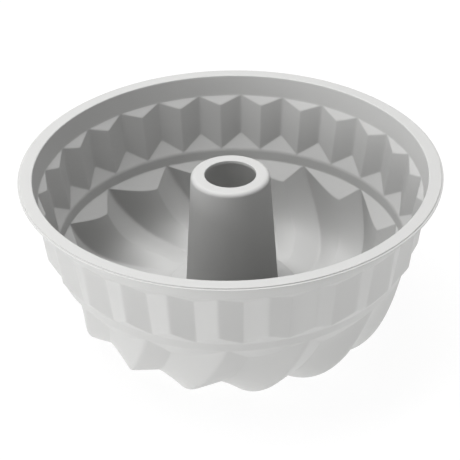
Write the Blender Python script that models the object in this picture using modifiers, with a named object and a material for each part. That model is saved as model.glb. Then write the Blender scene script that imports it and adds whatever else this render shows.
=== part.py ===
"""Silicone bundt mould: a fluted ring mould with a swirled base and an open centre tube.

One continuous silicone moulding, modelled as its eight moulded zones from the rim
down. The origin is the centre of the surface the mould stands on, +Z is up, and
all lengths are in metres.
"""
import math

import bmesh
import bpy

# Silicone wall, and the clearance left where two zones meet
WALL = 0.0020
GAP = 0.0003

# Flat rim flange
RIM_RADIUS = 0.1208
FLANGE_WIDTH = 0.0083
FLANGE_THICKNESS = 0.0018
FLANGE_EDGE_ROUND = 0.0005
FLANGE_INNER_ROUND = 0.0008

# Plain collar under the flange
COLLAR_HEIGHT = 0.0125
COLLAR_DRAFT = 0.0023

# Pleated band: valleys stand flush with the collar, ridges with the step ring
PLEATS = 26
PLEAT_PHASE = math.radians(99.9)
PLEAT_HEIGHT = 0.0347
PLEAT_VALLEY_DRAFT = 0.0035
SHELF_REACH = 0.0040
SHELF_DROP = 0.0054
LEDGE_REACH = 0.0046
LEDGE_DROP = 0.0085
OUTSIDE_LEDGE_DROP = 0.0068

# Plain step ring between the pleats and the swirl
STEP_HEIGHT = 0.0067
STEP_DRAFT = 0.0026
STEP_ROUND = 0.0012

# Swirled bowl: each lobe has a crest, a short steep side, a fold and a long full side
LOBES = 14
SWIRL_PHASE = math.radians(88.1)
FOLD_OFFSET = math.radians(6.2)
BOWL_DEPTH = 0.0438
CREST_FLOOR_RADIUS = 0.0648
FOLD_REACH = 0.0074
FOLD_DROP = 0.0093
FOLD_FLOOR_RADIUS = 0.0577
FOLD_FLOOR_LIFT = 0.0014
CREST_TURN = math.radians(24.5)
FOLD_TURN = math.radians(17.0)
CREST_FULLNESS = ((0.12, 0.62), (0.63, 0.0))
FOLD_FULLNESS = ((0.20, 0.81), (0.73, 0.14))
SIDE_BULGE = 0.0024

# The bowl's outside starts lower than its inside, and reaches the floor farther out
OUTSIDE_DROP = 0.0016
OUTSIDE_SPREAD = 0.0062
OUTSIDE_CREST_FULLNESS = ((0.19, 0.67), (0.63, 0.0))
OUTSIDE_FOLD_FULLNESS = ((0.20, 0.56), (0.78, 0.19))

# The swirl climbs from the floor to a flat foot ring around the tube
FOOT_WIDTH = 0.0109
FOOT_RISE = 0.0157
CLIMB_TURN = math.radians(9.0)
CLIMB_FULLNESS = ((0.50, 0.0), (0.12, 0.68))
OUTSIDE_CLIMB_FULLNESS = ((0.62, 0.0), (0.12, 0.68))

# Each crest rests on a small flat pad
PAD_FLAT = 0.0004
PAD_SHARE = 0.06

# Centre tube and its cap plate
TUBE_TOP_RADIUS = 0.0227
TUBE_DRAFT = 0.0049
TUBE_TOP_DROP = 0.0045
HOLE_RADIUS = 0.0148
CAP_ROUND = 0.0020

# Facets around the mould
TURNED_STEPS = 96
TUBE_STEPS = 64
BOWL_ROWS = 9
CLIMB_ROWS = 4
ROUND_STEPS = 3

# Heights of the zone borders, counted up from the resting surface
FLOOR_Z = WALL - PAD_FLAT
STEP_LOW_Z = FLOOR_Z + BOWL_DEPTH
STEP_TOP_Z = STEP_LOW_Z + STEP_HEIGHT
COLLAR_LOW_Z = STEP_TOP_Z + PLEAT_HEIGHT
RIM_Z = COLLAR_LOW_Z + COLLAR_HEIGHT
FLANGE_LOW_Z = RIM_Z - FLANGE_THICKNESS
FOOT_Z = FLOOR_Z + FOOT_RISE
CAP_Z = RIM_Z - TUBE_TOP_DROP

# Inside radii of the zone borders, counted in from the rim
COLLAR_TOP_RADIUS = RIM_RADIUS - FLANGE_WIDTH
COLLAR_LOW_RADIUS = COLLAR_TOP_RADIUS - COLLAR_DRAFT
PLEAT_LOW_RADIUS = COLLAR_LOW_RADIUS - PLEAT_VALLEY_DRAFT
STEP_TOP_RADIUS = PLEAT_LOW_RADIUS - LEDGE_REACH
STEP_LOW_RADIUS = STEP_TOP_RADIUS - STEP_DRAFT
FOOT_RADIUS = TUBE_TOP_RADIUS + TUBE_DRAFT + FOOT_WIDTH

SILICONE_COLOUR = (0.72, 0.72, 0.71, 1.0)
SILICONE_ROUGHNESS = 0.55


def clear_scene():
    """Remove what the scene starts with."""
    for item in list(bpy.data.objects):
        bpy.data.objects.remove(item, do_unlink=True)


def new_collection(name):
    """Make the collection that holds the mould's zones."""
    collection = bpy.data.collections.new(name)
    bpy.context.scene.collection.children.link(collection)
    return collection


def silicone(name):
    """Matte light grey silicone, one material for each zone."""
    material = bpy.data.materials.new(name)
    material.use_nodes = True
    shader = material.node_tree.nodes["Principled BSDF"]
    shader.inputs["Base Color"].default_value = SILICONE_COLOUR
    shader.inputs["Roughness"].default_value = SILICONE_ROUGHNESS
    shader.inputs["Metallic"].default_value = 0.0
    return material


def add_object(collection, name, mesh):
    """Put a mesh in the mould's collection with a silicone material of its own."""
    mesh.materials.append(silicone(name))
    item = bpy.data.objects.new(name, mesh)
    collection.objects.link(item)
    return item


def turned(collection, name, profile, steps):
    """Turn a closed (radius, height) outline about the tube's axis.

    The outline starts at the top and runs down its outer side.
    """
    mesh = bpy.data.meshes.new(name)
    corners = [(radius, 0.0, height) for radius, height in profile]
    edges = [(i, (i + 1) % len(corners)) for i in range(len(corners))]
    mesh.from_pydata(corners, edges, [])
    item = add_object(collection, name, mesh)
    screw = item.modifiers.new("turn", "SCREW")
    screw.axis = "Z"
    screw.angle = math.tau
    screw.steps = steps
    screw.render_steps = steps
    screw.use_merge_vertices = True
    screw.merge_threshold = 0.00001
    return item


def ring_loft(collection, name, rings):
    """Skin a closed wall through rings that run round its section.

    The rings go down the inside and back up the outside, and all have the same
    number of points. Neighbouring rings may share points, which then become one.
    """
    body = bmesh.new()
    rows = [[body.verts.new(point) for point in ring] for ring in rings]
    for this_row, next_row in zip(rows, rows[1:] + rows[:1]):
        for i in range(len(this_row)):
            j = (i + 1) % len(this_row)
            body.faces.new((this_row[i], this_row[j], next_row[j], next_row[i]))
    bmesh.ops.remove_doubles(body, verts=body.verts, dist=0.000001)
    bmesh.ops.recalc_face_normals(body, faces=body.faces)
    mesh = bpy.data.meshes.new(name)
    body.to_mesh(mesh)
    body.free()
    return add_object(collection, name, mesh)


def polar(radius, angle, height):
    """A point at a radius and an angle about the tube's axis."""
    return (radius * math.cos(angle), radius * math.sin(angle), height)


def between(start, end, share):
    """The point a given share of the way from start to end."""
    return tuple(a + (b - a) * share for a, b in zip(start, end))


def arc(centre, radius, start, end, steps=ROUND_STEPS):
    """Points on an arc of an outline, from the start angle to the end angle in degrees."""
    points = []
    for i in range(steps + 1):
        angle = math.radians(start + (end - start) * i / steps)
        points.append((centre[0] + radius * math.cos(angle), centre[1] + radius * math.sin(angle)))
    return points


def bezier(start, handle_a, handle_b, end, share):
    """A point on a cubic curve in the (radius, height) plane."""
    rest = 1.0 - share
    weights = (rest ** 3, 3 * rest * rest * share, 3 * rest * share * share, share ** 3)
    corners = (start, handle_a, handle_b, end)
    return tuple(sum(w * corner[axis] for w, corner in zip(weights, corners)) for axis in (0, 1))


def full_curve(start, end, fullness, share):
    """A wall curve whose two handles are (inward, downward) shares of its own span."""
    reach = start[0] - end[0]
    drop = start[1] - end[1]
    (in_a, down_a), (out_b, up_b) = fullness
    handle_a = (start[0] - in_a * reach, start[1] - down_a * drop)
    handle_b = (end[0] + out_b * reach, end[1] + up_b * drop)
    return bezier(start, handle_a, handle_b, end, share)


def make_flange(collection):
    """Flat rim ring with eased outer edges and a rounded inner edge."""
    edge = FLANGE_EDGE_ROUND
    roll = FLANGE_INNER_ROUND
    profile = arc((RIM_RADIUS - edge, RIM_Z - edge), edge, 90, 0, 2)
    profile += arc((RIM_RADIUS - edge, FLANGE_LOW_Z + edge), edge, 0, -90, 2)
    profile.append((COLLAR_TOP_RADIUS, FLANGE_LOW_Z))
    profile += arc((COLLAR_TOP_RADIUS + roll, RIM_Z - roll), roll, 180, 90)
    turned(collection, "rim_flange", profile, TURNED_STEPS)


def make_collar(collection):
    """Plain conical band that hangs from the flange."""
    top = FLANGE_LOW_Z - GAP
    profile = [
        (COLLAR_TOP_RADIUS + WALL, top),
        (COLLAR_LOW_RADIUS + WALL, COLLAR_LOW_Z),
        (COLLAR_LOW_RADIUS, COLLAR_LOW_Z),
        (COLLAR_TOP_RADIUS, top),
    ]
    turned(collection, "collar_band", profile, TURNED_STEPS)


def pleat_rings(offset, ledge_drop):
    """Circle, upper zigzag, lower zigzag and circle of one face of the pleated band."""
    pitch = math.tau / PLEATS
    top_z = COLLAR_LOW_Z - GAP
    valley_top = (COLLAR_LOW_RADIUS + offset, top_z)
    ridge_top = (COLLAR_LOW_RADIUS - SHELF_REACH + offset, COLLAR_LOW_Z - SHELF_DROP)
    valley_low = (PLEAT_LOW_RADIUS + offset, STEP_TOP_Z + ledge_drop)
    ridge_low = (STEP_TOP_RADIUS + offset, STEP_TOP_Z)
    rings = [[], [], [], []]
    for i in range(PLEATS):
        valley = PLEAT_PHASE + i * pitch
        for angle_a, angle_b, first, second in (
            (valley, valley + pitch / 2, (valley_top, valley_low), (ridge_top, ridge_low)),
            (valley + pitch / 2, valley + pitch, (ridge_top, ridge_low), (valley_top, valley_low)),
        ):
            for share in (0.0, 0.5):
                angle = angle_a + (angle_b - angle_a) * share
                upper = between(polar(first[0][0], angle_a, first[0][1]),
                                polar(second[0][0], angle_b, second[0][1]), share)
                lower = between(polar(first[1][0], angle_a, first[1][1]),
                                polar(second[1][0], angle_b, second[1][1]), share)
                rings[0].append(polar(valley_top[0], angle, top_z))
                rings[1].append(upper)
                rings[2].append(lower)
                rings[3].append(polar(ridge_low[0], angle, STEP_TOP_Z))
    return rings


def make_pleats(collection):
    """Band of upright pleats between sloping shelf and ledge facets."""
    inside = pleat_rings(0.0, LEDGE_DROP)
    outside = pleat_rings(WALL, OUTSIDE_LEDGE_DROP)
    ring_loft(collection, "pleat_band", inside + outside[::-1])


def make_step(collection):
    """Plain ring under the pleats, with a soft inner top edge."""
    top = STEP_TOP_Z - GAP
    slope = (STEP_TOP_RADIUS - STEP_LOW_RADIUS) / STEP_HEIGHT
    profile = [
        (STEP_TOP_RADIUS + WALL, top),
        (STEP_LOW_RADIUS + WALL, STEP_LOW_Z - OUTSIDE_DROP),
        (STEP_LOW_RADIUS, STEP_LOW_Z),
        (STEP_TOP_RADIUS - slope * STEP_ROUND, top - STEP_ROUND),
        (STEP_TOP_RADIUS + WALL / 4, top - STEP_ROUND / 3),
    ]
    turned(collection, "step_ring", profile, TURNED_STEPS)


def crest_curve(share, outside):
    """Crest of a lobe from the step ring to the floor, as (radius, height, turn)."""
    start = (STEP_LOW_RADIUS, STEP_LOW_Z - GAP)
    end = (CREST_FLOOR_RADIUS, FLOOR_Z)
    fullness = CREST_FULLNESS
    if outside:
        start = (start[0] + WALL, start[1] - OUTSIDE_DROP)
        end = (end[0] + OUTSIDE_SPREAD, end[1] - WALL)
        fullness = OUTSIDE_CREST_FULLNESS
    radius, height = full_curve(start, end, fullness, share)
    return radius, height, CREST_TURN * share * (0.8 + 0.2 * share)


def fold_curve(share, outside):
    """Fold between two lobes from the step ring to the floor, as (radius, height, turn)."""
    start = (STEP_LOW_RADIUS - FOLD_REACH, STEP_LOW_Z - FOLD_DROP - GAP)
    end = (FOLD_FLOOR_RADIUS, FLOOR_Z + FOLD_FLOOR_LIFT)
    fullness = FOLD_FULLNESS
    if outside:
        start = (start[0] + WALL, start[1] - OUTSIDE_DROP)
        end = (end[0] + OUTSIDE_SPREAD, end[1] - WALL)
        fullness = OUTSIDE_FOLD_FULLNESS
    radius, height = full_curve(start, end, fullness, share)
    return radius, height, FOLD_TURN * share * (0.7 + 0.3 * share)


def climb_curve(start, share, outside):
    """Climb from the floor up to the foot ring, as (radius, height, turn)."""
    inset = WALL if outside else 0.0
    end = (FOOT_RADIUS - inset, FOOT_Z - inset)
    fullness = OUTSIDE_CLIMB_FULLNESS if outside else CLIMB_FULLNESS
    radius, height = full_curve(start[:2], end, fullness, share)
    return radius, height, start[2] + CLIMB_TURN * share


def lobe_stations():
    """Columns across one lobe: (share from crest to fold, bulge), crest first."""
    short_side = [(0.0, 0.0), (0.33, 0.0), (0.67, 0.0)]
    long_side = [(1.0, 0.0), (0.8, 0.64), (0.6, 0.96), (0.4, 0.96), (0.16, 0.54)]
    return short_side, long_side


def lobe_ring(crest, fold, bulge):
    """One ring through all lobes at a level of the bowl."""
    pitch = math.tau / LOBES
    short_side, long_side = lobe_stations()
    points = []
    for i in range(LOBES):
        crest_angle = SWIRL_PHASE + i * pitch - crest[2]
        fold_angle = SWIRL_PHASE + i * pitch + FOLD_OFFSET - fold[2]
        for stations, angle_a in ((short_side, crest_angle), (long_side, crest_angle + pitch)):
            for share, full in stations:
                angle = angle_a + (fold_angle - angle_a) * share
                radius, height = between(crest[:2], fold[:2], share)
                points.append(polar(radius - bulge * full, angle, max(height, 0.0)))
    return points


def bowl_rings(outside):
    """Rings of one face of the bowl: shelf circle, wall and floor, then pad and climb."""
    crest = crest_curve(0.0, outside)
    fold = fold_curve(0.0, outside)
    first = lobe_ring(crest, fold, SIDE_BULGE)
    circle = [polar(crest[0], math.atan2(y, x), crest[1]) for x, y, z in first]
    rings = [circle, first]
    for row in range(1, BOWL_ROWS + 1):
        share = row / BOWL_ROWS
        crest = crest_curve(share, outside)
        fold = fold_curve(share, outside)
        rings.append(lobe_ring(crest, fold, SIDE_BULGE * (1.0 - share)))
    for share in [PAD_SHARE] + [row / CLIMB_ROWS for row in range(1, CLIMB_ROWS + 1)]:
        rings.append(lobe_ring(climb_curve(crest, share, outside), climb_curve(fold, share, outside), 0.0))
    return rings


def make_bowl(collection):
    """Swirled bowl: shelf facets, spiralling lobes, floor and climb to the foot."""
    ring_loft(collection, "swirl_bowl", bowl_rings(False) + bowl_rings(True)[::-1])


def tube_radius(height):
    """Outer radius of the tapered tube at a height."""
    share = (CAP_Z - height) / (CAP_Z - FOOT_Z)
    return TUBE_TOP_RADIUS + TUBE_DRAFT * share


def make_foot(collection):
    """Flat ring between the swirl and the tube, mitred to the swirl's end."""
    mitre_gap = GAP * math.sqrt(2)
    low = FOOT_Z - WALL
    profile = [
        (FOOT_RADIUS - mitre_gap, FOOT_Z),
        (FOOT_RADIUS - WALL - mitre_gap, low),
        (tube_radius(low) + GAP, low),
        (tube_radius(FOOT_Z) + GAP, FOOT_Z),
    ]
    turned(collection, "foot_ring", profile, TUBE_STEPS)


def make_tube(collection):
    """Tapered tube, open at both ends."""
    top = CAP_Z - WALL - GAP
    low = FOOT_Z - WALL
    profile = [
        (tube_radius(top), top),
        (tube_radius(low), low),
        (tube_radius(low) - WALL, low),
        (tube_radius(top) - WALL, top),
    ]
    turned(collection, "centre_tube", profile, TUBE_STEPS)


def make_cap(collection):
    """Plate that closes the tube's top down to its round hole."""
    low = CAP_Z - WALL
    centre = (tube_radius(low) - CAP_ROUND, CAP_Z - CAP_ROUND)
    profile = arc(centre, CAP_ROUND, 90, 0)
    profile.append((HOLE_RADIUS, low))
    profile.append((HOLE_RADIUS, CAP_Z))
    turned(collection, "tube_cap", profile, TUBE_STEPS)


def main():
    clear_scene()
    collection = new_collection("silicone_bundt_mould")
    make_flange(collection)
    make_collar(collection)
    make_pleats(collection)
    make_step(collection)
    make_bowl(collection)
    make_foot(collection)
    make_tube(collection)
    make_cap(collection)


main()
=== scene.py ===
"""Looks of the silicone bundt mould, built round its CAD frame."""
import math

import bpy
import numpy as np
from bpy.props import FloatProperty, FloatVectorProperty, IntProperty, PointerProperty
from mathutils import Matrix, Vector


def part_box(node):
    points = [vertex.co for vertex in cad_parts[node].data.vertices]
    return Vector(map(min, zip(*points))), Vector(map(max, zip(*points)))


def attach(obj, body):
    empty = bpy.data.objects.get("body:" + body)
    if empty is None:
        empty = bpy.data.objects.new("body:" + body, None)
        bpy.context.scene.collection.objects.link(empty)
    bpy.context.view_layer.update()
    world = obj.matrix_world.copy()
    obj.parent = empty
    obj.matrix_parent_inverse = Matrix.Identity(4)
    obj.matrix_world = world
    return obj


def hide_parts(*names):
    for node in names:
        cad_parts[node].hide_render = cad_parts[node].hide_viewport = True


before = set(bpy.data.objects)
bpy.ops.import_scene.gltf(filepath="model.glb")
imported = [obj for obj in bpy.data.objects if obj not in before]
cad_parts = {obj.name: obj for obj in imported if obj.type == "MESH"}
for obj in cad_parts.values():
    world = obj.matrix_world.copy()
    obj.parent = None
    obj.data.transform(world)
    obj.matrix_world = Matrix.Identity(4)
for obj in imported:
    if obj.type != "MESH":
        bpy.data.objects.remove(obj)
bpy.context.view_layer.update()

bl_info = {
    "name": "Silicone Bundt Mould",
    "version": (1, 0, 0),
    "blender": (4, 5, 0),
    "location": "View3D > Sidebar > Bundt Mould",
    "description": "Builds a swirled ring mould in matte silicone round its CAD frame",
    "category": "Add Mesh",
}

BODY = "root"
MM = 0.001

# Width and height of the photograph in pixels, and width of the camera's sensor in millimetres
PICTURE_WIDTH = 460
SENSOR_WIDTH = 36.0

# Bends sharper than this show as edges, and the rest are smoothed
SHARP_BEND = math.radians(50)

# Columns round each turned piece
TURNED_COLUMNS = 480

# Stretches down a pleat (lap, shelf, panel, ledge, lap) as (rows, pull to both ends), and the
# columns across half a pleat
PLEAT_ROWS = ((8, 0.9), (12, 0.9), (26, 0.9), (14, 0.9), (6, 0.9))
PLEAT_COLUMNS = 12

# Stretches down a lobe (lap, shelf, wall, floor with climb, lap), and the columns across its
# short side and its long side
LOBE_ROWS = ((6, 0.9), (14, 0.9), (33, 0.9), (39, 0.6), (5, 0.9))
LOBE_COLUMNS = (12, 24)

# Fillets and roundings that are too small to need sizes of their own
ROUNDINGS = {
    "flange_under": 0.8 * MM,
    "bead_low": 0.2 * MM,
    "bead_top": 0.15 * MM,
    "groove": 0.05 * MM,
    "collar": 0.4 * MM,
    "facet": 0.35 * MM,
    "outer_step": 0.4 * MM,
    "lobe_top": 0.35 * MM,
    "lobe_shelf": 0.25 * MM,
    "foot_flat": 0.8 * MM,
    "foot_under": 0.5 * MM,
    "hole_top": 0.4 * MM,
    "hole_low": 0.3 * MM,
    "cap_under": 0.8 * MM,
}

# How far past a zone's edge the piece above or below it carries on
LAP = 1.5 * MM

# How much lower than that both seams of the step ring lie
SEAM_DROP = 0.5 * MM

# Least height of a pleat's facet and least sweep of a lobe's shelf, so that no row is cramped
LEAST_FACET = 0.8 * MM
LEAST_SHELF = math.radians(1.2)

# Centre of the rays that sweep the swirl's section, as (radius, height)
HUB = (64 * MM, 50 * MM)

# Angles of rays from the hub, 0 outward and growing downward: where the floor's rows start,
# what no shelf reaches, and what only the foot ring's flat lies past
FLOOR_RAY = math.radians(60)
SHELF_LIMIT = math.radians(65)
FLAT_RAY = math.radians(100)

# How far past a fold's start the end of its shelf is looked for, in radians and in steps
SEARCH_PAST, SEARCH_STEPS = 0.15, 240

# Points along a curve of the swirl, how far above its start it runs straight on as a share of
# the curve and in points, and the points straight on past its end
CURVE_POINTS = 200
HEAD_SHARE, HEAD_POINTS = 0.4, 40
TAIL_POINTS = 59

# Turning of the swirl's lines at their start, as a share of their mean turning
TURN_START = {"crest": 0.8, "fold": 0.7}

# Width of the rounding of crests and folds on the outside, beside that on the inside
OUTSIDE_EASES = (1.5, 0.7)

# Handles of the swirl's curves, as (inward, downward) shares of each curve's span
FULLNESS = {
    "inside": {
        "crest": ((0.10, 0.62), (0.63, 0.0)),
        "fold": ((0.20, 0.81), (0.73, 0.14)),
        "climb": ((0.50, 0.0), (0.12, 0.68)),
    },
    "outside": {
        "crest": ((0.20, 0.67), (0.63, 0.0)),
        "fold": ((0.20, 0.56), (0.78, 0.19)),
        "climb": ((0.62, 0.0), (0.12, 0.68)),
    },
}

# Patterns in the silicone as name: (how many in a metre, detail)
PATTERNS = {
    "clouds": (40.0, 3.0),
    "specks": (900.0, 2.0),
    "patches": (125.0, 2.0),
    "ripple": (50.0, 1.0),
    "grain": (2000.0, 2.0),
}

# Darkest silicone as a share of the plain grey, share of the clouds in the darkening (the
# specks have the rest), swing of the roughness either way, and the refraction of silicone
DIM = 0.96
CLOUD_SHARE = 0.75
ROUGHNESS_SWING = 0.06
SILICONE_IOR = 1.41

# Paper floor: half its width in metres, its two tones with the patterns in a metre, and the
# glow that a camera ray sees with the share that the glow has in it
FLOOR_HALF = 3.0
PAPER_TONES = ((0.90, 0.90, 0.90, 1.0), (0.92, 0.92, 0.92, 1.0))
PAPER_PATTERN = 12.0
PAPER_GLOW, GLOW_SHARE = 1.06, 0.86
WHITE = (1.0, 1.0, 1.0, 1.0)

# Soft studio lamps as name: (place in metres, width, height, power, bounces). Light from a
# lamp without bounces falls on the mould directly and isn't followed any farther.
LAMPS = {
    "overhead_lamp": ((-0.25, 0.2, 1.5), 0.8, 0.8, 1.3, 8),
    "overhead_left": ((-0.5, 0.0, 1.4), 0.8, 0.8, 12.8, 0),
    "overhead_back": ((0.0, 0.5, 1.4), 0.8, 0.8, 8.2, 0),
    "overhead_right": ((0.5, 0.0, 1.4), 0.8, 0.8, 1.0, 0),
    "front_left": ((-1.1, -1.1, 0.6), 1.3, 1.3, 7.7, 0),
    "front_right": ((1.1, -1.1, 0.6), 1.3, 1.3, 2.9, 0),
    "right_lamp": ((1.4, 0.0, 0.9), 1.0, 1.0, 3.7, 0),
    "side_left": ((-1.4, -0.5, 0.25), 0.8, 0.4, 5.6, 0),
    "low_left": ((-1.3, 0.0, 0.02), 1.2, 0.12, 2.2, 8),
    "low_right": ((1.3, 0.0, 0.02), 1.2, 0.12, 2.8, 8),
}

# Height of the mould's middle, which the lamps face
MIDDLE_Z = 0.05


def low_z(node):
    """Lowest height of a CAD node."""
    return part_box(node)[0][2]


def top_z(node):
    """Highest height of a CAD node."""
    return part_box(node)[1][2]


def reach(node):
    """Largest radius of a CAD node that is centred on the tube's axis."""
    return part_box(node)[1][0]


def length(name, description, default):
    """Property that holds a length in metres."""
    return FloatProperty(name=name, description=description, default=default, unit="LENGTH")


def degrees(name, description, default):
    """Property that holds an angle, given in degrees."""
    return FloatProperty(
        name=name, description=description, default=math.radians(default), subtype="ANGLE")


# Wall and gap between pieces, as the CAD nodes have them
WALL = top_z("foot_ring") - low_z("foot_ring")
GAP = low_z("rim_flange") - top_z("collar_band")


class RimSizes(bpy.types.PropertyGroup):
    """Rim flange, the bead along its lower edge and the plain collar under it."""
    radius: length("Rim radius", "Outer radius of the rim flange", reach("rim_flange"))
    top: length("Rim top", "Height of the rim's flat top", top_z("rim_flange"))
    low: length("Flange underside", "Height of the flange's underside", low_z("rim_flange"))
    inner_round: length("Inner round", "Rounding of the flange's inner edge", 0.8 * MM)
    outer_round: length("Outer round", "Rounding of the flange's outer top edge", 0.3 * MM)
    bead: length("Bead height", "Height of the bead's upright side", 1.05 * MM)
    bead_step: length("Bead step", "How far the bead stands out from the flange's side", 1.0 * MM)
    bead_rise: length("Bead rise", "How far the bead's top rises to the flange's side", 0.2 * MM)
    groove: length("Groove", "Height and depth of the groove over the bead", 0.12 * MM)
    collar_radius: length(
        "Collar radius", "Inside radius of the collar under the flange",
        reach("collar_band") - WALL)
    collar_low: length(
        "Collar foot", "Inside height of the collar's foot", top_z("pleat_band") + GAP)
    collar_draft: length("Collar draft", "How far the collar leans in to its foot", 2.3 * MM)


class PleatSizes(bpy.types.PropertyGroup):
    """Pleated band and the plain step ring below it."""
    count: IntProperty(name="Pleats", description="Number of pleats round the band", default=26)
    phase: degrees("Phase", "Angle of one valley", 99.91)
    draft: length("Valley draft", "How far a valley leans in from top to foot", 3.45 * MM)
    shelf_reach: length("Shelf reach", "How far a ridge stands in from the collar", 3.95 * MM)
    shelf_drop: length("Shelf drop", "How far a shelf facet falls to its ridge", 5.45 * MM)
    shelf_out: length("Outside shelf drop", "The same fall on the outside", 4.9 * MM)
    ledge_reach: length("Ledge reach", "How far a valley stands out from the step ring", 5.5 * MM)
    ledge_drop: length("Ledge drop", "How far a ledge facet falls to the step ring", 8.8 * MM)
    ledge_out: length("Outside ledge drop", "The same fall on the outside", 7.6 * MM)
    ridge_ease: length("Ridge ease", "Half width of the rounded ridges", 0.65 * MM)
    valley_ease: length("Valley ease", "Half width of the rounded valleys", 1.3 * MM)
    step_top: length(
        "Step top", "Inside height of the step ring's top edge", low_z("pleat_band") + 0.2 * MM)
    step_drop: length("Step drop", "How far lower its outside starts", 1.1 * MM)
    step_radius: length("Step radius", "Inside radius of the step ring's top edge", 101.2 * MM)
    step_draft: length("Step draft", "How far the step ring leans in to its foot", 1.0 * MM)
    step_ease: length("Step ease", "Size of the rounding along its inside top edge", 0.6 * MM)


class SwirlSizes(bpy.types.PropertyGroup):
    """Spiralling lobes, from the step ring to the foot ring."""
    count: IntProperty(name="Lobes", description="Number of lobes round the bowl", default=14)
    phase: degrees("Phase", "Angle of one crest at the step ring", 88.12)
    top: length("Swirl top", "Inside height of the step ring's foot", 46.0 * MM)
    radius: length("Swirl radius", "Inside radius of the step ring's foot", 100.2 * MM)
    drop: length("Swirl drop", "How far the outside starts below the inside", 0.1 * MM)
    fold_offset: degrees("Fold offset", "Angle from a crest to its fold at the top", 6.21)
    fold_reach: length("Fold reach", "How far a fold stands in from the step ring", 8.1 * MM)
    fold_drop: length("Fold drop", "How far a shelf facet falls to its fold", 9.9 * MM)
    fold_drop_out: length("Outside fold drop", "The same fall on the outside", 11.4 * MM)
    crest_floor: length(
        "Crest floor radius", "Radius at which a crest reaches the floor", 64.8 * MM)
    fold_floor: length("Fold floor radius", "Radius at which a fold reaches the floor", 57.7 * MM)
    spread: length(
        "Outside spread", "How much farther out the outside reaches the floor", 6.2 * MM)
    fold_lift: length("Fold lift", "Height of a fold over the floor", 2.6 * MM)
    crest_turn: degrees("Crest turn", "Turn of a crest on its way to the floor", 24.5)
    fold_turn: degrees("Fold turn", "Turn of a fold on its way to the floor", 17.0)
    climb_turn: degrees("Climb turn", "Turn of a lobe from the floor to the foot ring", 9.0)
    floor: length("Floor", "Height of a crest's inside over the resting surface", 1.6 * MM)
    pad: length("Pad", "How much a crest is flattened where it rests", 0.4 * MM)
    swell: length("Swell", "How far a lobe's long side swells in, less toward its foot", 1.7 * MM)
    crest_ease: length("Crest ease", "Half width of the rounded crests", 1.3 * MM)
    fold_ease: length("Fold ease", "Half width of the rounded folds", 0.4 * MM)


class TubeSizes(bpy.types.PropertyGroup):
    """Foot ring, tapered tube and its cap plate."""
    foot_top: length("Foot height", "Height of the foot ring's flat top", top_z("foot_ring"))
    foot_radius: length(
        "Foot radius", "Radius of the foot ring's edge", reach("foot_ring") + GAP * math.sqrt(2))
    low: length("Tube lower end", "Height of the tube's lower end", low_z("centre_tube"))
    low_radius: length("Tube low radius", "Outer radius of the lower end", reach("centre_tube"))
    top: length("Cap height", "Height of the cap plate's top", top_z("tube_cap"))
    top_radius: length("Cap radius", "Outer radius of the cap plate's foot", reach("tube_cap"))
    cap_round: length("Cap round", "Rounding of the cap plate's outer edge", 2.6 * MM)
    hole_radius: length("Hole radius", "Radius of the hole in the cap plate", 14.8 * MM)
    fillet: length("Fillet", "Rounding where the tube meets the foot ring", 0.9 * MM)


class SiliconeFinish(bpy.types.PropertyGroup):
    """Colour and grain of the silicone."""
    colour: FloatVectorProperty(
        name="Colour", description="Light grey of the silicone", size=3, subtype="COLOR",
        default=(0.62, 0.62, 0.612))
    roughness: FloatProperty(
        name="Roughness", description="Roughness of the moulded surface", default=0.55)
    grain: length("Grain", "Depth of the fine moulded grain", 0.03 * MM)
    ripple: length("Ripple", "Depth of the soft unevenness of the wall", 0.12 * MM)


class StageLook(bpy.types.PropertyGroup):
    """Camera, sky, table and lamps."""
    distance: length("Camera distance", "Distance from the camera to the rim's centre", 0.8970)
    elevation: degrees("Camera elevation", "Angle at which the camera looks down", 30.80)
    roll: degrees("Camera roll", "Turn of the picture about its centre", 1.0)
    focal: FloatProperty(
        name="Focal length", description="Focal length in pixels of the picture", default=1572.7)
    rim_pixel: FloatVectorProperty(
        name="Rim centre", description="Pixel of the rim's centre, from the top left",
        size=2, default=(231.33, 167.1))
    sky: FloatProperty(name="Sky", description="Strength of the even sky light", default=0.04)
    table: FloatProperty(
        name="Table", description="Glow of the lit table under the mould", default=0.61)
    lamps: FloatProperty(name="Lamps", description="Strength of all the lamps", default=1.0)


GROUPS = {
    "mould_rim": RimSizes,
    "mould_pleats": PleatSizes,
    "mould_swirl": SwirlSizes,
    "mould_tube": TubeSizes,
    "mould_finish": SiliconeFinish,
    "mould_stage": StageLook,
}


# Outlines and blends

def eased_min(a, b, ease):
    """The smaller of two arrays, with a fillet where they cross.

    Where they lie within ease of each other, h*h*ease/4 is taken off, with
    h = 1 - |a - b| / ease, which joins them by a parabola.
    """
    h = np.clip(1.0 - np.abs(a - b) / ease, 0.0, 1.0)
    return np.minimum(a, b) - h * h * ease / 4


def eased_max(a, b, ease):
    """The larger of two arrays, with the same fillet on the other side."""
    return -eased_min(-a, -b, ease)


def eased_corner(x, at, change, width):
    """What rounds a corner of a broken line.

    The line's slope changes by change where x is at. Within width of there the line
    gains change * (width - |x - at|)^2 / (4 width), its mean over that width.
    """
    return change * np.clip(width - np.abs(x - at), 0.0, None) ** 2 / (4 * width)


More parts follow.
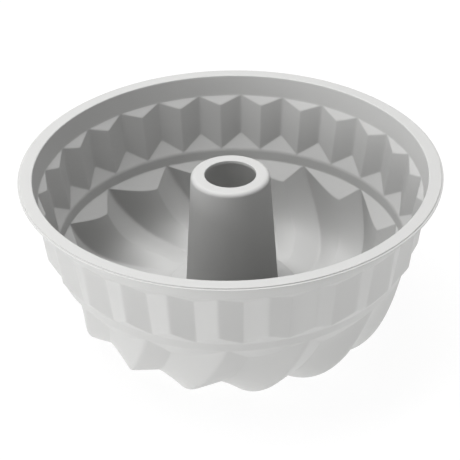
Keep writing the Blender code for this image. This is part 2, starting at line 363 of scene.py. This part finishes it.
def flute(x, fold, pitch, rise, bows, eases):
    """Offset across one flute, 0 at its crest and rise at its fold.

    Straight from the crest at 0 to the fold and straight back to the crest at
    pitch. Each side bows by 4u(1-u) times its bow, with u its own share, and the
    corners at crest and fold are rounded over their eases.
    """
    first_bow, second_bow = bows
    first = np.clip(x / fold, 0.0, 1.0)
    second = np.clip((x - fold) / (pitch - fold), 0.0, 1.0)
    line = rise * (first - second) + 4 * first_bow * first * (1 - first)
    line = line + 4 * second_bow * second * (1 - second)
    leave_crest = (rise + 4 * first_bow) / fold
    reach_fold = (rise - 4 * first_bow) / fold
    leave_fold = (-rise + 4 * second_bow) / (pitch - fold)
    reach_crest = (-rise - 4 * second_bow) / (pitch - fold)
    crest_ease, fold_ease = eases
    for at, change, ease in (
        (0.0, leave_crest - reach_crest, crest_ease),
        (fold, leave_fold - reach_fold, fold_ease),
        (pitch, leave_crest - reach_crest, crest_ease),
    ):
        line = line + eased_corner(x, at, change, ease)
    return line


def clustered(count, pull=0.9):
    """Shares from 0 to just under 1 that lie closer together at both ends.

    They mix even steps with the steps of a half turn's cosine, which weighs pull.
    """
    v = np.linspace(0.0, 1.0, count, endpoint=False)
    return (1 - pull) * v + pull * (1 - np.cos(math.pi * v)) / 2


def rows_through(edges, stretches):
    """Rows from each edge to just before the next, and then the last edge.

    An edge holds a value for each column, and a stretch is (rows, pull).
    """
    rows = [
        start + (end - start) * clustered(*stretch)[:, None]
        for start, end, stretch in zip(edges, edges[1:], stretches)]
    return np.concatenate([*rows, edges[-1][None]])


def crossing(start, end, at_start, at_end):
    """Where a straight function that is at_start and at_end crosses zero."""
    return start + (end - start) * np.clip(at_start / (at_start - at_end), 0.0, 1.0)


def cubic(start, end, fullness):
    """Cubic curve in the (radius, height) plane.

    Its handles are (inward, downward) shares of its own span, and the point at t
    is the sum of the four corners weighted by the Bernstein polynomials of t.
    """
    start, end = np.asarray(start), np.asarray(end)
    span = end - start
    handle_a = start + span * fullness[0]
    handle_b = end - span * fullness[1]
    t = np.linspace(0.0, 1.0, CURVE_POINTS)[:, None]
    s = 1.0 - t
    return s ** 3 * start + 3 * s * s * t * handle_a + 3 * s * t * t * handle_b + t ** 3 * end


def rounded(corners, steps=7, guard=0.15 * MM):
    """Closed (radius, height) outline with its corners rounded.

    Each corner is (radius, height, rounding). An arc of the rounding replaces it,
    from rounding / tan(half the corner's angle) before it to as far after it.
    Long straight stretches get a point close to either end.
    """
    outline = []
    previous, following = corners[-1:] + corners[:-1], corners[1:] + corners[:1]
    for before, corner, after in zip(previous, corners, following):
        here, rounding = np.array(corner[:2]), corner[2]
        if not rounding:
            outline.append(here[None])
            continue
        back, ahead = np.array(before[:2]) - here, np.array(after[:2]) - here
        back, ahead = back / np.linalg.norm(back), ahead / np.linalg.norm(ahead)
        half = math.acos(back @ ahead) / 2
        middle = back + ahead
        centre = here + middle / np.linalg.norm(middle) * rounding / math.sin(half)
        first = here + back * rounding / math.tan(half) - centre
        last = here + ahead * rounding / math.tan(half) - centre
        start = math.atan2(first[1], first[0])
        sweep = (math.atan2(last[1], last[0]) - start + math.pi) % math.tau - math.pi
        angle = start + sweep * np.linspace(0.0, 1.0, steps)
        outline.append(centre + rounding * np.stack([np.cos(angle), np.sin(angle)], 1))
    points = np.concatenate(outline)
    guarded = []
    for point, step in zip(points, np.roll(points, -1, axis=0) - points):
        guarded.append(point)
        size = np.linalg.norm(step)
        if size > 4 * guard:
            guarded += [point + step * guard / size, point + step * (1 - guard / size)]
    return np.array(guarded)


# Meshes

def ring_mesh(name, grid):
    """Closed ring from a grid of points (rows round the section, columns round the axis).

    Point (i, j) joins (i + 1, j) and (i, j + 1), and both directions wrap round.
    """
    rows, columns = grid.shape[:2]
    index = np.arange(rows * columns).reshape(rows, columns)
    right = np.roll(index, -1, axis=1)
    faces = np.stack([index, right, np.roll(right, -1, axis=0), np.roll(index, -1, axis=0)], -1)
    faces = faces.reshape(-1, 4)
    mesh = bpy.data.meshes.new(name)
    mesh.vertices.add(rows * columns)
    mesh.vertices.foreach_set("co", grid.astype(np.float32).ravel())
    mesh.loops.add(faces.size)
    mesh.loops.foreach_set("vertex_index", faces.astype(np.int32).ravel())
    mesh.polygons.add(len(faces))
    mesh.polygons.foreach_set("loop_start", np.arange(0, faces.size, 4, dtype=np.int32))
    mesh.update(calc_edges=True)
    mesh.validate()
    mesh.shade_smooth()
    mesh.set_sharp_from_angle(angle=SHARP_BEND)
    return mesh


def spun(radius, angle, height):
    """Points at radii and angles about the tube's axis, stacked on a last axis."""
    radius, angle, height = np.broadcast_arrays(radius, angle, height)
    return np.stack([radius * np.cos(angle), radius * np.sin(angle), height], -1)


def turned(outline):
    """Grid of a closed outline carried round the axis in even steps."""
    angle = np.linspace(0.0, math.tau, TURNED_COLUMNS, endpoint=False)
    return spun(outline[:, :1], angle, outline[:, 1:])


def repeated(flute_rows, count):
    """Grid of one flute's (radius, angle, height) rows set count times round the axis."""
    radius, angle, height = flute_rows
    turns = np.arange(count)[None, :, None] * math.tau / count
    grid = spun(radius[:, None, :], angle[:, None, :] + turns, height[:, None, :])
    return grid.reshape(len(radius), -1, 3)


def two_faced(inside, outside):
    """Rows down the inside followed by rows back up the outside."""
    return [np.concatenate([a, b[::-1]]) for a, b in zip(inside, outside)]


def add_piece(name, node, grid):
    """Make a silicone piece that stands for a CAD node."""
    mesh = ring_mesh(name, grid)
    mesh.materials.append(silicone(name, bpy.context.scene.mould_finish))
    piece = bpy.data.objects.new(name, mesh)
    bpy.context.scene.collection.objects.link(piece)
    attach(piece, BODY)
    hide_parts(node)


# Walls that several pieces share

def collar_line(rim, height, outside):
    """Collar's radius at a height: straight from under the flange in to its foot."""
    top = rim.low if outside else rim.top - rim.inner_round
    slope = rim.collar_draft / (top - rim.collar_low)
    return rim.collar_radius + WALL * outside + slope * (height - top)


def step_line(pleats, swirl, height, outside):
    """Step ring's radius at a height: straight from its top edge in to its foot."""
    top = pleats.step_top - pleats.step_drop * outside
    slope = pleats.step_draft / (top - swirl.top + swirl.drop * outside)
    return pleats.step_radius + WALL * outside + slope * (height - top)


def tube_line(tube, height):
    """Tube's outer radius at a height: straight from its lower end to its cap."""
    slope = (tube.low_radius - tube.top_radius) / (tube.top - WALL - tube.low)
    return tube.low_radius - slope * (height - tube.low)


# Pleated band

def pleat_face(rim, pleats, swirl, outside):
    """Rows of one pleat of one face, as (radius, angle, height).

    The radius is the smallest or largest of five plain walls, each with a fillet
    where it meets the next: the collar, the sloping shelf, the upright panels
    between valley and ridge, the sloping ledge, and the step ring. Past its own
    stretch the collar falls away outward by steep and the step inward by curl, so
    neither cuts into the others.
    """
    collar_z, step_z = rim.collar_low, pleats.step_top - pleats.step_drop * outside
    collar_r = collar_line(rim, collar_z, outside)
    step_r = step_line(pleats, swirl, step_z, outside)
    shelf_drop = pleats.shelf_out if outside else pleats.shelf_drop
    ledge_drop = pleats.ledge_out if outside else pleats.ledge_drop
    ridge_z, valley_z = collar_z - shelf_drop, step_z + ledge_drop
    pitch = math.tau / pleats.count
    half = clustered(PLEAT_COLUMNS) * pitch / 2
    x = np.concatenate([half, half + pitch / 2])
    bow = -collar_r * pitch * pitch / 32
    eases = (pleats.valley_ease / collar_r, pleats.ridge_ease / collar_r)

    def panel(z):
        """Upright panels: a flute across, between the straight valley and ridge lines."""
        valley = collar_r - pleats.draft * (collar_z - z) / (collar_z - valley_z)
        ridge_share = (ridge_z - z) / (ridge_z - step_z)
        ridge_top = collar_r - pleats.shelf_reach
        ridge = ridge_top + (step_r - ridge_top) * ridge_share
        wave = flute(x, pitch / 2, pitch, ridge - valley, (bow, bow), eases)
        return valley + wave - wave[..., :1]

    def shelf(z):
        """Sloping shelf: straight from the collar's foot in to the ridges."""
        return collar_r - pleats.shelf_reach * (collar_z - z) / shelf_drop

    def ledge(z):
        """Sloping ledge: straight from the step ring's top edge out to the valleys."""
        return step_r + pleats.ledge_reach * (z - step_z) / ledge_drop

    shelf_end = crossing(
        collar_z, ridge_z, panel(collar_z) - shelf(collar_z), panel(ridge_z) - shelf(ridge_z))
    ledge_start = crossing(
        valley_z, step_z, panel(valley_z) - ledge(valley_z), panel(step_z) - ledge(step_z))
    shelf_end = np.minimum(shelf_end, collar_z - LEAST_FACET)
    ledge_start = np.maximum(ledge_start, step_z + LEAST_FACET)
    even = 0 * x
    z = rows_through([
        collar_z + LAP + even, collar_z + even, shelf_end, ledge_start, step_z + even,
        step_z - LAP - SEAM_DROP + even,
    ], PLEAT_ROWS)
    steep, curl = 2.0, 0.5 / MM
    step_ease = ROUNDINGS["outer_step"] if outside else pleats.step_ease
    collar = np.where(
        z > collar_z, collar_line(rim, z, outside), collar_r + steep * (collar_z - z))
    step = step_line(pleats, swirl, z, outside) - curl * np.clip(z - step_z, 0.0, None) ** 2
    radius = eased_max(panel(z), shelf(z), ROUNDINGS["facet"])
    radius = eased_min(collar, radius, ROUNDINGS["collar"])
    radius = eased_max(eased_min(radius, ledge(z), ROUNDINGS["facet"]), step, step_ease)
    return radius, pleats.phase + x + 0 * z, z


# Swirl

def lobe_path(line, corners, fullness, turn, climb_turn):
    """A crest or a fold of the swirl as (ray angle, ray length, turn) about the hub.

    It runs straight on above its start, down its cubic curve to the floor, up the
    climb curve to the foot ring and straight on above that. At t of the way down
    it has turned turn * t * (ease + (1 - ease) t), with the line's TURN_START as
    ease, and on the climb it turns evenly by climb_turn.
    """
    start, floor, foot = corners
    ease = TURN_START[line]
    t = np.linspace(0.0, 1.0, CURVE_POINTS)
    fall = cubic(start, floor, fullness[line])
    climb = cubic(floor, foot, fullness["climb"])
    above = np.linspace(-HEAD_SHARE, 0.0, HEAD_POINTS, endpoint=False)
    head = fall[0] + (fall[1] - fall[0]) * above[:, None] * (CURVE_POINTS - 1)
    tail = climb[-1] + (climb[-1] - climb[-2]) * np.arange(1, TAIL_POINTS + 1)[:, None]
    points = np.concatenate([head, fall, climb[1:], tail])
    turns = np.concatenate([
        turn * ease * above,
        turn * t * (ease + (1 - ease) * t),
        turn + climb_turn * t[1:],
        np.full(TAIL_POINTS, turn + climb_turn),
    ])
    across, down = points[:, 0] - HUB[0], HUB[1] - points[:, 1]
    return np.arctan2(down, across), np.hypot(across, down), turns


def ray_to_line(ray, first, second):
    """Length of a ray from the hub to the line through two (radius, height) points.

    With n square to the line, it is n.(first - hub) / n.(direction of the ray).
    """
    normal = (second[1] - first[1], first[0] - second[0])
    away = normal[0] * (first[0] - HUB[0]) + normal[1] * (first[1] - HUB[1])
    return away / (normal[0] * np.cos(ray) - normal[1] * np.sin(ray))


def ray_angle(radius, height):
    """Angle of the ray from the hub to a point, 0 outward and a quarter turn down."""
    return math.atan2(HUB[1] - height, radius - HUB[0])


def swirl_face(pleats, swirl, tube, outside):
    """Rows of one lobe of one face, as (radius, angle, height).

    A ray from the hub sweeps from the step ring under the bowl to the foot ring.
    Its length runs across a lobe as a flute between the crest's and the fold's
    lengths, cut by the step ring, the sloping shelf and the foot ring's flat, with
    a fillet at each, and outside by the surface that the mould stands on. Below
    its foot the step ring gives way by opening a radian, so it cuts no lobe.
    """
    top = (swirl.radius + WALL * outside, swirl.top - swirl.drop * outside)
    fold_drop = swirl.fold_drop_out if outside else swirl.fold_drop
    fold_top = (top[0] - swirl.fold_reach, top[1] - fold_drop)
    foot = (tube.foot_radius - WALL * outside, tube.foot_top - WALL * outside)
    floor = -swirl.pad if outside else swirl.floor
    spread = swirl.spread * outside
    fullness = FULLNESS["outside" if outside else "inside"]
    crest_ray, crest_length, crest_turn = lobe_path(
        "crest", (top, (swirl.crest_floor + spread, floor), foot), fullness,
        swirl.crest_turn, swirl.climb_turn)
    fold_ray, fold_length, fold_turn = lobe_path(
        "fold", (fold_top, (swirl.fold_floor + spread, floor + swirl.fold_lift), foot), fullness,
        swirl.fold_turn, swirl.climb_turn)
    pitch = math.tau / swirl.count
    short_side, long_side = LOBE_COLUMNS
    share = np.concatenate([clustered(short_side), 1.0 + clustered(long_side)])
    top_ray, shelf_ray, foot_ray = ray_angle(*top), ray_angle(*fold_top), ray_angle(*foot)
    crest_wider, fold_wider = OUTSIDE_EASES if outside else (1.0, 1.0)

    def lobe(ray):
        """Ray length and angle across the lobe from its crest."""
        crest = np.interp(ray, crest_ray, crest_length)
        fold = np.interp(ray, fold_ray, fold_length)
        turn = np.interp(ray, crest_ray, crest_turn)
        at = swirl.fold_offset + turn - np.interp(ray, fold_ray, fold_turn)
        x = np.where(share < 1, share * at, at + (share - 1) * (pitch - at))
        radius = HUB[0] + crest * np.cos(ray)
        fade = np.clip((foot_ray - ray) / (foot_ray - shelf_ray), 0.0, 1.0)
        bows = (-radius * at * at / 8 * np.cos(ray), -swirl.swell * fade)
        eases = (crest_wider * swirl.crest_ease / radius, fold_wider * swirl.fold_ease / radius)
        wave = flute(x, at, pitch, fold - crest, bows, eases)
        return crest + wave - wave[..., :1], x - turn

    def shelf(ray):
        """Ray length to the sloping shelf, or 0 where a ray can't meet it."""
        return np.where(ray < SHELF_LIMIT, ray_to_line(ray, top, fold_top), 0.0)

    trial = np.linspace(top_ray, shelf_ray + SEARCH_PAST, SEARCH_STEPS)[:, None] + 0 * share
    over = lobe(trial)[0] - shelf(trial)
    after = np.clip(np.argmax(over > 0, axis=0), 1, None)
    columns = np.arange(len(share))
    shelf_end = crossing(
        trial[after - 1, columns], trial[after, columns],
        over[after - 1, columns], over[after, columns])
    shelf_end = np.maximum(shelf_end, top_ray + LEAST_SHELF)
    lap_z = top[1] + LAP - SEAM_DROP
    lap_edge = (step_line(pleats, swirl, lap_z, outside), lap_z)
    even = 0 * share
    ray = rows_through([
        ray_angle(*lap_edge) + even, top_ray + even, shelf_end, FLOOR_RAY + even,
        foot_ray + even, ray_angle(foot[0] - LAP, foot[1]) + even,
    ], LOBE_ROWS)
    lobe_length, angle = lobe(ray)
    opening = 0.1
    step = np.where(
        ray < top_ray, ray_to_line(ray, top, lap_edge),
        math.dist(top, HUB) + opening * (ray - top_ray))
    flat = np.where(ray > FLAT_RAY, (HUB[1] - foot[1]) / np.sin(ray), 0.0)
    out = eased_max(lobe_length, shelf(ray), ROUNDINGS["lobe_shelf"])
    out = eased_max(eased_min(step, out, ROUNDINGS["lobe_top"]), flat, ROUNDINGS["foot_flat"])
    if outside:
        out = np.minimum(out, HUB[1] / np.sin(ray))
    return HUB[0] + out * np.cos(ray), swirl.phase + angle, HUB[1] - out * np.sin(ray)


# Silicone and plain materials

class Shade:
    """Shader socket that takes part in sums like a number."""

    def __init__(self, tree, socket=None):
        self.tree = tree
        self.socket = socket

    def node(self, kind, settings, sockets, output=0):
        """Add a node of any kind with its settings and sockets, and return an output."""
        made = self.tree.nodes.new(kind)
        for name, value in settings.items():
            setattr(made, name, value)
        for name, value in sockets.items():
            if isinstance(value, Shade):
                self.tree.links.new(value.socket, made.inputs[name])
            else:
                made.inputs[name].default_value = value
        return Shade(self.tree, made.outputs[output])

    def combined(self, operation, first, second):
        """Result of a Math operation on two sockets or numbers."""
        return self.node("ShaderNodeMath", {"operation": operation}, {0: first, 1: second})

    def __add__(self, other):
        return self.combined("ADD", self, other)

    def __radd__(self, other):
        return self.combined("ADD", other, self)

    def __sub__(self, other):
        return self.combined("SUBTRACT", self, other)

    def __rsub__(self, other):
        return self.combined("SUBTRACT", other, self)

    def __mul__(self, other):
        return self.combined("MULTIPLY", self, other)

    def __rmul__(self, other):
        return self.combined("MULTIPLY", other, self)

    def noise(self, where, scale, detail=2.0):
        """Noise from 0 to 1 that averages a half."""
        return self.node(
            "ShaderNodeTexNoise", {}, {"Vector": where, "Scale": scale, "Detail": detail})

    def blend(self, factor, first, second):
        """Colour between two colours."""
        return self.node(
            "ShaderNodeMix", {"data_type": "RGBA"}, {0: factor, 6: first, 7: second}, 2)

    def bump(self, height, distance, normal=None):
        """Normal of a surface raised by a height from 0 to 1 times a distance."""
        sockets = {"Height": height, "Distance": distance}
        if normal:
            sockets["Normal"] = normal
        return self.node("ShaderNodeBump", {}, sockets)


def new_material(name):
    """Node material with nothing in it but its output node, and its shade."""
    material = bpy.data.materials.new(name)
    material.use_nodes = True
    material.node_tree.nodes.clear()
    shade = Shade(material.node_tree)
    output = material.node_tree.nodes.new("ShaderNodeOutputMaterial")
    return material, shade, output


def silicone(name, finish):
    """Matte moulded silicone.

    Colour: the finish's grey, up to 3% darker in soft clouds 25 mm wide and up to
    1% in specks 1 mm wide. Roughness: up and down by 0.06 in patches 8 mm wide.
    Surface: a soft ripple 20 mm long under a fine grain of half a millimetre.
    """
    material, shade, output = new_material("silicone_" + name)
    where = shade.node("ShaderNodeTexCoord", {}, {}, "Object")
    clouds = shade.noise(where, *PATTERNS["clouds"])
    specks = shade.noise(where, *PATTERNS["specks"])
    patches = shade.noise(where, *PATTERNS["patches"])
    colour = (*finish.colour, 1.0)
    dim = (*(DIM * c for c in finish.colour), 1.0)
    ripple = shade.bump(shade.noise(where, *PATTERNS["ripple"]), finish.ripple)
    grain = shade.bump(shade.noise(where, *PATTERNS["grain"]), finish.grain, ripple)
    darkening = clouds * CLOUD_SHARE + specks * (1.0 - CLOUD_SHARE)
    surface = shade.node("ShaderNodeBsdfPrincipled", {}, {
        "Base Color": shade.blend(darkening, colour, dim),
        "Roughness": patches * (2 * ROUGHNESS_SWING) + (finish.roughness - ROUGHNESS_SWING),
        "IOR": SILICONE_IOR,
        "Normal": grain,
    })
    shade.tree.links.new(surface.socket, output.inputs["Surface"])
    return material


def floor_paper(stage):
    """Pale paper on a softly lit table, which a camera ray sees almost white."""
    material, shade, output = new_material("white_paper")
    where = shade.node("ShaderNodeTexCoord", {}, {}, "Object")
    tone = shade.blend(shade.noise(where, PAPER_PATTERN), *PAPER_TONES)
    paper = shade.node("ShaderNodeBsdfDiffuse", {}, {"Color": tone})
    glow = shade.node("ShaderNodeEmission", {}, {"Color": WHITE, "Strength": PAPER_GLOW})
    camera = shade.node("ShaderNodeLightPath", {}, {}, "Is Camera Ray")
    table = shade.node(
        "ShaderNodeEmission", {}, {"Color": WHITE, "Strength": (1.0 - camera) * stage.table})
    paper = shade.node("ShaderNodeAddShader", {}, {0: paper, 1: table})
    surface = shade.node("ShaderNodeMixShader", {}, {0: camera * GLOW_SHARE, 1: paper, 2: glow})
    shade.tree.links.new(surface.socket, output.inputs["Surface"])
    return material


def white_world(stage):
    """Even grey sky for lighting that the camera sees as white."""
    world = bpy.data.worlds.new("studio")
    world.use_nodes = True
    world.node_tree.nodes.clear()
    shade = Shade(world.node_tree)
    output = world.node_tree.nodes.new("ShaderNodeOutputWorld")
    camera = shade.node("ShaderNodeLightPath", {}, {}, "Is Camera Ray")
    strength = camera * (1.0 - stage.sky) + stage.sky
    sky = shade.node("ShaderNodeBackground", {}, {"Color": WHITE, "Strength": strength})
    shade.tree.links.new(sky.socket, output.inputs["Surface"])
    bpy.context.scene.world = world


def add_floor(stage):
    """Flat sheet of pale paper under the mould, as one square."""
    mesh = bpy.data.meshes.new("paper_floor")
    signs = ((-1, -1), (1, -1), (1, 1), (-1, 1))
    corners = [(FLOOR_HALF * a, FLOOR_HALF * b, 0.0) for a, b in signs]
    mesh.from_pydata(corners, [], [(0, 1, 2, 3)])
    mesh.materials.append(floor_paper(stage))
    floor = bpy.data.objects.new("paper_floor", mesh)
    bpy.context.scene.collection.objects.link(floor)


def add_lamp(name, place, width, height, power, bounces):
    """Area lamp that faces the middle of the mould, or one by the floor that faces level.

    Light from it is followed for so many bounces and no more.
    """
    data = bpy.data.lights.new(name, "AREA")
    data.shape = "RECTANGLE"
    data.size = width
    data.size_y = height
    data.energy = power
    data.cycles.max_bounces = bounces
    lamp = bpy.data.objects.new(name, data)
    lamp.location = place
    aim = Vector((0.0, 0.0, min(place[2], MIDDLE_Z))) - Vector(place)
    lamp.rotation_euler = aim.to_track_quat("-Z", "Y").to_euler()
    bpy.context.scene.collection.objects.link(lamp)


def add_camera(stage, rim):
    """Camera at the photograph's view, aimed so that the rim's centre falls on its pixel.

    It stands at the distance along the elevation in front of the rim's centre.
    The line from it to that centre meets the picture off its middle, so the camera
    is turned by that offset's pitch and yaw, and then rolled.
    """
    sine, cosine = math.sin(stage.elevation), math.cos(stage.elevation)
    level = np.array([[1.0, 0.0, 0.0], [0.0, sine, cosine], [0.0, cosine, -sine]])
    across = (stage.rim_pixel[0] - PICTURE_WIDTH / 2) / stage.focal
    up = -(stage.rim_pixel[1] - PICTURE_WIDTH / 2) / stage.focal
    pitch, yaw = math.atan2(up, math.hypot(across, 1.0)), math.atan2(across, 1.0)
    sine_p, cosine_p = math.sin(pitch), math.cos(pitch)
    sine_y, cosine_y = math.sin(yaw), math.cos(yaw)
    sine_r, cosine_r = math.sin(stage.roll), math.cos(stage.roll)
    pitched = np.array([[1.0, 0.0, 0.0], [0.0, cosine_p, sine_p], [0.0, -sine_p, cosine_p]])
    yawed = np.array([[cosine_y, 0.0, sine_y], [0.0, 1.0, 0.0], [-sine_y, 0.0, cosine_y]])
    rolled = np.array([[cosine_r, -sine_r, 0.0], [sine_r, cosine_r, 0.0], [0.0, 0.0, 1.0]])
    right, upward, forward = rolled @ yawed @ pitched @ level
    place = stage.distance * np.array([0.0, -cosine, sine]) + (0.0, 0.0, rim.top)
    data = bpy.data.cameras.new("camera")
    data.sensor_width = SENSOR_WIDTH
    data.lens = stage.focal * SENSOR_WIDTH / PICTURE_WIDTH
    camera = bpy.data.objects.new("camera", data)
    turn = Matrix([right, upward, -forward]).transposed().to_4x4()
    camera.matrix_world = Matrix.Translation(place) @ turn
    bpy.context.scene.collection.objects.link(camera)
    bpy.context.scene.camera = camera


# Operators

class MOULD_OT_add_rim(bpy.types.Operator):
    """Add the rim flange and the plain collar under it"""
    bl_idname = "mould.add_rim"
    bl_label = "Add rim and collar"

    def execute(self, context):
        rim = context.scene.mould_rim
        cut = rim.low - LAP
        side = rim.radius - rim.bead_step
        bead_top = rim.low + rim.bead
        groove_low = bead_top + rim.bead_rise
        flange = rounded([
            (collar_line(rim, rim.top, False), rim.top, rim.inner_round),
            (collar_line(rim, cut, False), cut, 0),
            (collar_line(rim, cut, True), cut, 0),
            (collar_line(rim, rim.low, True), rim.low, ROUNDINGS["flange_under"]),
            (rim.radius, rim.low, ROUNDINGS["bead_low"]),
            (rim.radius, bead_top, ROUNDINGS["bead_top"]),
            (side - rim.groove, groove_low, ROUNDINGS["groove"]),
            (side - rim.groove, groove_low + rim.groove, ROUNDINGS["groove"]),
            (side, groove_low + rim.groove, ROUNDINGS["groove"]),
            (side, rim.top, rim.outer_round),
        ])
        add_piece("moulded_rim", "rim_flange", turned(flange))
        foot = rim.collar_low + LAP
        collar = rounded([
            (collar_line(rim, cut, False), cut, 0),
            (collar_line(rim, foot, False), foot, 0),
            (collar_line(rim, foot, True), foot, 0),
            (collar_line(rim, cut, True), cut, 0),
        ])
        add_piece("moulded_collar", "collar_band", turned(collar))
        return {"FINISHED"}


class MOULD_OT_add_pleats(bpy.types.Operator):
    """Add the pleated band and the plain step ring below it"""
    bl_idname = "mould.add_pleats"
    bl_label = "Add pleats and step"

    def execute(self, context):
        scene = context.scene
        rim, pleats, swirl = scene.mould_rim, scene.mould_pleats, scene.mould_swirl
        rows = two_faced(
            pleat_face(rim, pleats, swirl, False), pleat_face(rim, pleats, swirl, True))
        add_piece("moulded_pleats", "pleat_band", repeated(rows, pleats.count))
        corners = []
        for outside in (False, True):
            top = pleats.step_top - pleats.step_drop * outside - LAP - SEAM_DROP
            low = swirl.top - swirl.drop * outside + LAP - SEAM_DROP
            for height in (low, top) if outside else (top, low):
                corners.append((step_line(pleats, swirl, height, outside), height, 0))
        add_piece("moulded_step", "step_ring", turned(rounded(corners)))
        return {"FINISHED"}


class MOULD_OT_add_swirl(bpy.types.Operator):
    """Add the swirled bowl"""
    bl_idname = "mould.add_swirl"
    bl_label = "Add swirled bowl"

    def execute(self, context):
        scene = context.scene
        pleats, swirl, tube = scene.mould_pleats, scene.mould_swirl, scene.mould_tube
        rows = two_faced(
            swirl_face(pleats, swirl, tube, False), swirl_face(pleats, swirl, tube, True))
        add_piece("moulded_swirl", "swirl_bowl", repeated(rows, swirl.count))
        return {"FINISHED"}


class MOULD_OT_add_tube(bpy.types.Operator):
    """Add the foot ring, the tapered tube and its cap plate"""
    bl_idname = "mould.add_tube"
    bl_label = "Add centre tube"

    def execute(self, context):
        tube = context.scene.mould_tube
        low_cut = tube.foot_top + LAP
        top_cut = tube.top - WALL - LAP
        edge = tube.foot_radius - LAP
        foot = rounded([
            (edge, tube.foot_top, 0),
            (tube_line(tube, tube.foot_top), tube.foot_top, tube.fillet),
            (tube_line(tube, low_cut), low_cut, 0),
            (tube_line(tube, low_cut) - WALL, low_cut, 0),
            (tube_line(tube, tube.low) - WALL, tube.low, ROUNDINGS["foot_under"]),
            (edge - WALL, tube.low, 0),
        ])
        add_piece("moulded_foot", "foot_ring", turned(foot))
        wall = rounded([
            (tube_line(tube, low_cut), low_cut, 0),
            (tube_line(tube, top_cut), top_cut, 0),
            (tube_line(tube, top_cut) - WALL, top_cut, 0),
            (tube_line(tube, low_cut) - WALL, low_cut, 0),
        ])
        add_piece("moulded_tube", "centre_tube", turned(wall))
        under = tube.top - WALL
        cap = rounded([
            (tube_line(tube, top_cut), top_cut, 0),
            (tube_line(tube, tube.top), tube.top, tube.cap_round),
            (tube.hole_radius, tube.top, ROUNDINGS["hole_top"]),
            (tube.hole_radius, under, ROUNDINGS["hole_low"]),
            (tube_line(tube, under) - WALL, under, ROUNDINGS["cap_under"]),
            (tube_line(tube, top_cut) - WALL, top_cut, 0),
        ])
        add_piece("moulded_cap", "tube_cap", turned(cap))
        return {"FINISHED"}


class MOULD_OT_add_stage(bpy.types.Operator):
    """Add the camera, the lamps, the pale floor and the white surroundings"""
    bl_idname = "mould.add_stage"
    bl_label = "Add stage"

    def execute(self, context):
        scene = context.scene
        stage = scene.mould_stage
        add_camera(stage, scene.mould_rim)
        white_world(stage)
        add_floor(stage)
        for name, (place, width, height, power, bounces) in LAMPS.items():
            add_lamp(name, place, width, height, power * stage.lamps, bounces)
        scene.view_settings.view_transform = "Standard"
        return {"FINISHED"}


OPERATORS = (
    MOULD_OT_add_stage,
    MOULD_OT_add_rim,
    MOULD_OT_add_pleats,
    MOULD_OT_add_swirl,
    MOULD_OT_add_tube,
)


class MOULD_PT_sidebar(bpy.types.Panel):
    """Sidebar panel with the mould's sizes and its build steps"""
    bl_label = "Bundt Mould"
    bl_idname = "MOULD_PT_sidebar"
    bl_space_type = "VIEW_3D"
    bl_region_type = "UI"
    bl_category = "Bundt Mould"

    def draw(self, context):
        for operator in OPERATORS:
            self.layout.operator(operator.bl_idname)
        for attribute, group in GROUPS.items():
            box = self.layout.box()
            box.label(text=group.bl_rna.description or attribute)
            for name in group.__annotations__:
                box.prop(getattr(context.scene, attribute), name)


def register():
    """Register the add-on and hang its settings on the scene."""
    for item in (*GROUPS.values(), *OPERATORS, MOULD_PT_sidebar):
        bpy.utils.register_class(item)
    for attribute, group in GROUPS.items():
        setattr(bpy.types.Scene, attribute, PointerProperty(type=group))


def unregister():
    """Take the settings off the scene and unregister the add-on."""
    for attribute in GROUPS:
        delattr(bpy.types.Scene, attribute)
    for item in (MOULD_PT_sidebar, *reversed(OPERATORS), *reversed(GROUPS.values())):
        bpy.utils.unregister_class(item)


def main():
    """Build the stage and the mould."""
    register()
    bpy.ops.mould.add_stage()
    bpy.ops.mould.add_rim()
    bpy.ops.mould.add_pleats()
    bpy.ops.mould.add_swirl()
    bpy.ops.mould.add_tube()


if __name__ == "__main__":
    main()
